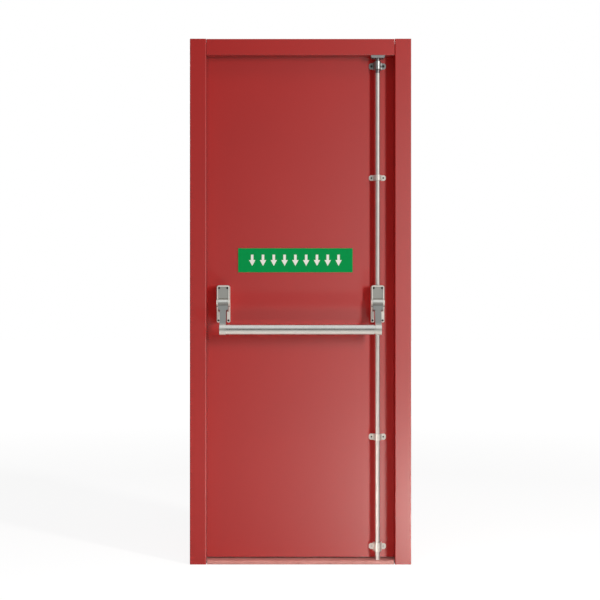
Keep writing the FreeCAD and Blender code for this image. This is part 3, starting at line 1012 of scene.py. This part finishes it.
@dataclass(frozen=True)
class Softbox:
    """One area lamp, aimed at a point."""

    name: str
    place: tuple[float, float, float]
    aim: tuple[float, float, float]
    size: tuple[float, float]
    power: float
    colour: str
    reach: Reach = Reach.ALL

    def add(self) -> None:
        """Hang the lamp in the studio."""
        lamp = bpy.data.lights.new(self.name, "AREA")
        lamp.shape = "RECTANGLE"
        lamp.size, lamp.size_y = self.size
        lamp.energy = self.power
        lamp.color = linear(self.colour)[:3]
        holder = bpy.data.objects.new(self.name, lamp)
        holder.location = self.place
        holder.rotation_mode = "QUATERNION"
        way = Vector(self.aim) - Vector(self.place)
        holder.rotation_quaternion = way.to_track_quat("-Z", "Y")
        holder.visible_camera = False
        holder.visible_glossy = self.reach is not Reach.COLOUR
        linking = holder.light_linking
        if self.reach is Reach.COLOUR:
            linking.blocker_collection = self._wearing(GLOSS_ON[Reach.PAINT_GLOSS])
        elif self.reach is Reach.PIECES:
            linking.receiver_collection = self._wearing(())
        elif self.reach in GLOSS_ON:
            holder.visible_diffuse = False
            linking.receiver_collection = self._wearing(GLOSS_ON[self.reach])
        bpy.context.scene.collection.objects.link(holder)
        log.info("%s hung, lights %s", self.name, self.reach.value)

    def _wearing(self, finishes: tuple[str, ...]) -> bpy.types.Collection:
        """Gather the pieces that wear any of the named finishes.

        Args:
            finishes: Names of materials, or none of them for every piece but the floor.

        Returns:
            A collection of those pieces, for this lamp alone.
        """
        wearers = bpy.data.collections.new(f"{self.name}_reach")
        for item in bpy.context.scene.objects:
            if item.type != "MESH" or item.name == FLOOR:
                continue
            if not finishes or any(slot.name in finishes for slot in item.data.materials):
                wearers.objects.link(item)
        return wearers


LAMPS = (
    # Tall key at the right, which casts the shadows
    Softbox(
        name="key_lamp",
        place=(3.9, -4.6, 3.0),
        aim=(0, 0, 1.07),
        size=(0.5, 2.4),
        power=204,
        colour="#FFFAF5",
    ),
    # Three that lift the colours from above, the front and the foot
    Softbox(
        name="top_lamp",
        place=(0.2, -1.0, 3.7),
        aim=(0, 0, 1.1),
        size=(1.6, 0.6),
        power=10,
        colour="#F4F8FF",
        reach=Reach.COLOUR,
    ),
    Softbox(
        name="fill_lamp",
        place=(-0.6, -4.5, 1.6),
        aim=(0, 0, 1.0),
        size=(2.5, 2.5),
        power=34,
        colour=WHITE,
        reach=Reach.COLOUR,
    ),
    Softbox(
        name="foot_lamp",
        place=(0.0, -1.4, 0.12),
        aim=(0.15, 0, 0.2),
        size=(1.2, 0.2),
        power=7,
        colour="#FFF8F0",
        reach=Reach.COLOUR,
    ),
    # Two that give the paint its broad sheen, strongest low on the right
    Softbox(
        name="high_gloss",
        place=(1.7, -1.75, 1.35),
        aim=(0.2, 0, 0.95),
        size=(0.3, 0.7),
        power=178,
        colour="#FFFAF5",
        reach=Reach.PAINT_GLOSS,
    ),
    Softbox(
        name="foot_gloss",
        place=(0.9, -0.75, 0.06),
        aim=(0.2, 0, 0.3),
        size=(0.2, 0.1),
        power=74,
        colour="#FFF8F0",
        reach=Reach.PAINT_GLOSS,
    ),
    # One for the gloss of the lower rod and its guides
    Softbox(
        name="rod_gloss",
        place=(-0.5, -0.7, 0.1),
        aim=(0.31, 0, 0.3),
        size=(0.3, 0.3),
        power=11,
        colour="#FFF3E8",
        reach=Reach.ROD_GLOSS,
    ),
    # One behind, for the outer side
    Softbox(
        name="rear_lamp",
        place=(-2.6, 4.8, 3.0),
        aim=(0, 0, 1.07),
        size=(1.6, 1.6),
        power=260,
        colour="#FFFAF5",
        reach=Reach.PIECES,
    ),
)


@dataclass
class Studio:
    """White floor and room, the lamps and the camera."""

    lamps: tuple[Softbox, ...] = LAMPS
    camera_distance: float = 5.5
    camera_height: float = 1.069
    camera_side: float = -0.0022
    view_width: float = 2.4246
    sensor: float = 36.0
    floor_size: float = 60.0
    floor_drop: float = 1 * MM
    floor_bounce: str = "#A0A0A0"
    floor_shade: str = "#959595"
    floor_glow: tuple[float, float] = (0.86, 1.0)
    floor_glow_span: tuple[float, float] = (3.0, 9.0)
    mirrored_near: str = "#F7EBE4"
    mirrored_far: str = "#B2B0AC"
    mirrored_span: tuple[float, float] = (1.2, 3.2)
    room_fill: float = 0.2
    room_front: float = 0.02
    room_rise_span: tuple[float, float] = (0.15, 0.5)
    room_rear_span: tuple[float, float] = (-0.1, 0.4)

    def build(self) -> None:
        """Set up the floor, the room, the lamps and the camera."""
        bpy.context.scene.view_settings.view_transform = "Standard"
        self._floor()
        self._room()
        for lamp in self.lamps:
            lamp.add()
        self._camera()

    def _floor(self) -> None:
        """Lay a white floor that still takes a faint shadow."""
        shape = bmesh.new()
        bmesh.ops.create_grid(shape, x_segments=1, y_segments=1, size=self.floor_size / 2)
        mesh = bpy.data.meshes.new(FLOOR)
        shape.to_mesh(mesh)
        shape.free()
        mesh.transform(Matrix.Translation((0, 0, -self.floor_drop)))
        mesh.materials.append(self._floor_material())
        floor = bpy.data.objects.new(FLOOR, mesh)
        bpy.context.scene.collection.objects.link(floor)

    def _floor_material(self) -> bpy.types.Material:
        """Make the floor white to the camera, darker with distance in what mirrors it.

        Returns:
            The new material.
        """
        material, tree = new_tree("white_floor")
        lit = add_node(tree, "ShaderNodeBsdfDiffuse", {"Color": linear(self.floor_bounce)})
        shade = add_node(tree, "ShaderNodeBsdfDiffuse", {"Color": linear(self.floor_shade)})
        place = add_node(tree, "ShaderNodeTexCoord").outputs["Object"]
        reach = add_node(tree, "ShaderNodeVectorMath", {0: place}, operation="LENGTH")
        strength = add_node(
            tree,
            "ShaderNodeMapRange",
            {
                "Value": reach.outputs["Value"],
                "From Min": self.floor_glow_span[0],
                "From Max": self.floor_glow_span[1],
                "To Min": self.floor_glow[0],
                "To Max": self.floor_glow[1],
            },
        )
        distance = add_node(
            tree,
            "ShaderNodeMapRange",
            {
                "Value": reach.outputs["Value"],
                "From Min": self.mirrored_span[0],
                "From Max": self.mirrored_span[1],
            },
            interpolation_type="SMOOTHSTEP",
        )
        tones = {
            FACTOR: distance.outputs["Result"],
            FIRST: linear(self.mirrored_near),
            SECOND: linear(self.mirrored_far),
        }
        mirrored = add_node(tree, "ShaderNodeMix", tones, data_type="RGBA")
        tones = {
            FACTOR: add_node(tree, "ShaderNodeLightPath").outputs["Is Camera Ray"],
            FIRST: mirrored.outputs[BLEND],
            SECOND: linear(WHITE),
        }
        tint = add_node(tree, "ShaderNodeMix", tones, data_type="RGBA")
        glow = add_node(
            tree,
            "ShaderNodeEmission",
            {"Color": tint.outputs[BLEND], "Strength": strength.outputs["Result"]},
        )
        seen = add_node(tree, "ShaderNodeAddShader", {0: shade.outputs[0], 1: glow.outputs[0]})
        mixed = add_node(
            tree,
            "ShaderNodeMixShader",
            {0: self._seen(tree), 1: lit.outputs[0], 2: seen.outputs[0]},
        )
        close_tree(tree, mixed)
        # Light samples carry no ray type, so the white is met by traced rays alone
        material.cycles.emission_sampling = "NONE"
        return material

    @staticmethod
    def _seen(tree: bpy.types.NodeTree) -> bpy.types.NodeSocket:
        """Tell rays that show a surface from those that only light one.

        Args:
            tree: Node tree to add to.

        Returns:
            A socket that is 1 on rays from the camera and on reflected and refracted ones.
        """
        path = add_node(tree, "ShaderNodeLightPath").outputs
        either = path["Is Camera Ray"]
        for kind in ("Is Glossy Ray", "Is Transmission Ray"):
            pair = {0: either, 1: path[kind]}
            either = add_node(tree, "ShaderNodeMath", pair, operation="MAXIMUM").outputs[0]
        return either

    def _room(self) -> None:
        """Make the room white to the camera, an even fill, and dim in front to what is glossy."""
        world = bpy.data.worlds.new("studio")
        bpy.context.scene.world = world
        world.use_nodes = True
        # Light samples carry no ray type, so the room is met by traced rays alone
        world.cycles.sampling_method = "NONE"
        tree = world.node_tree
        tree.nodes.clear()
        way = add_node(tree, "ShaderNodeTexCoord").outputs["Generated"]
        axes = add_node(tree, "ShaderNodeSeparateXYZ", {"Vector": way}).outputs
        shown = add_node(tree, "ShaderNodeLightPath").outputs["Is Camera Ray"]
        for axis, span in (("Z", self.room_rise_span), ("Y", self.room_rear_span)):
            bright = add_node(
                tree,
                "ShaderNodeMapRange",
                {
                    "Value": axes[axis],
                    "From Min": span[0],
                    "From Max": span[1],
                    "To Min": self.room_front,
                    "To Max": 1.0,
                },
                interpolation_type="SMOOTHSTEP",
            )
            pair = {0: shown, 1: bright.outputs["Result"]}
            shown = add_node(tree, "ShaderNodeMath", pair, operation="MAXIMUM").outputs[0]
        fill = add_node(
            tree, "ShaderNodeBackground", {"Color": linear(WHITE), "Strength": self.room_fill}
        )
        white = add_node(tree, "ShaderNodeBackground", {"Color": linear(WHITE), "Strength": shown})
        mixed = add_node(
            tree,
            "ShaderNodeMixShader",
            {0: self._seen(tree), 1: fill.outputs[0], 2: white.outputs[0]},
        )
        add_node(tree, "ShaderNodeOutputWorld", {"Surface": mixed.outputs[0]})

    def _camera(self) -> None:
        """Put the camera square in front of the push side."""
        data = bpy.data.cameras.new("camera")
        data.sensor_width = self.sensor
        data.lens = self.sensor * self.camera_distance / self.view_width
        camera = bpy.data.objects.new("camera", data)
        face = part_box("hinge_jamb")[0].y
        camera.location = (self.camera_side, face - self.camera_distance, self.camera_height)
        camera.rotation_euler = (math.radians(90), 0, 0)
        bpy.context.scene.collection.objects.link(camera)
        bpy.context.scene.camera = camera


def main() -> None:
    """Load the solids, dress them, add the small pieces and set up the studio."""
    logging.basicConfig(level=logging.INFO, format="%(name)s: %(message)s")
    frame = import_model()
    palette = Palette()
    for part in (SteelFrame, DoorLeaf, PushBar, BoltGear):
        assembly = part(palette, frame["nodes"])
        assembly.dress()
        assembly.build()
    Studio().build()


if __name__ == "__main__":
    main()
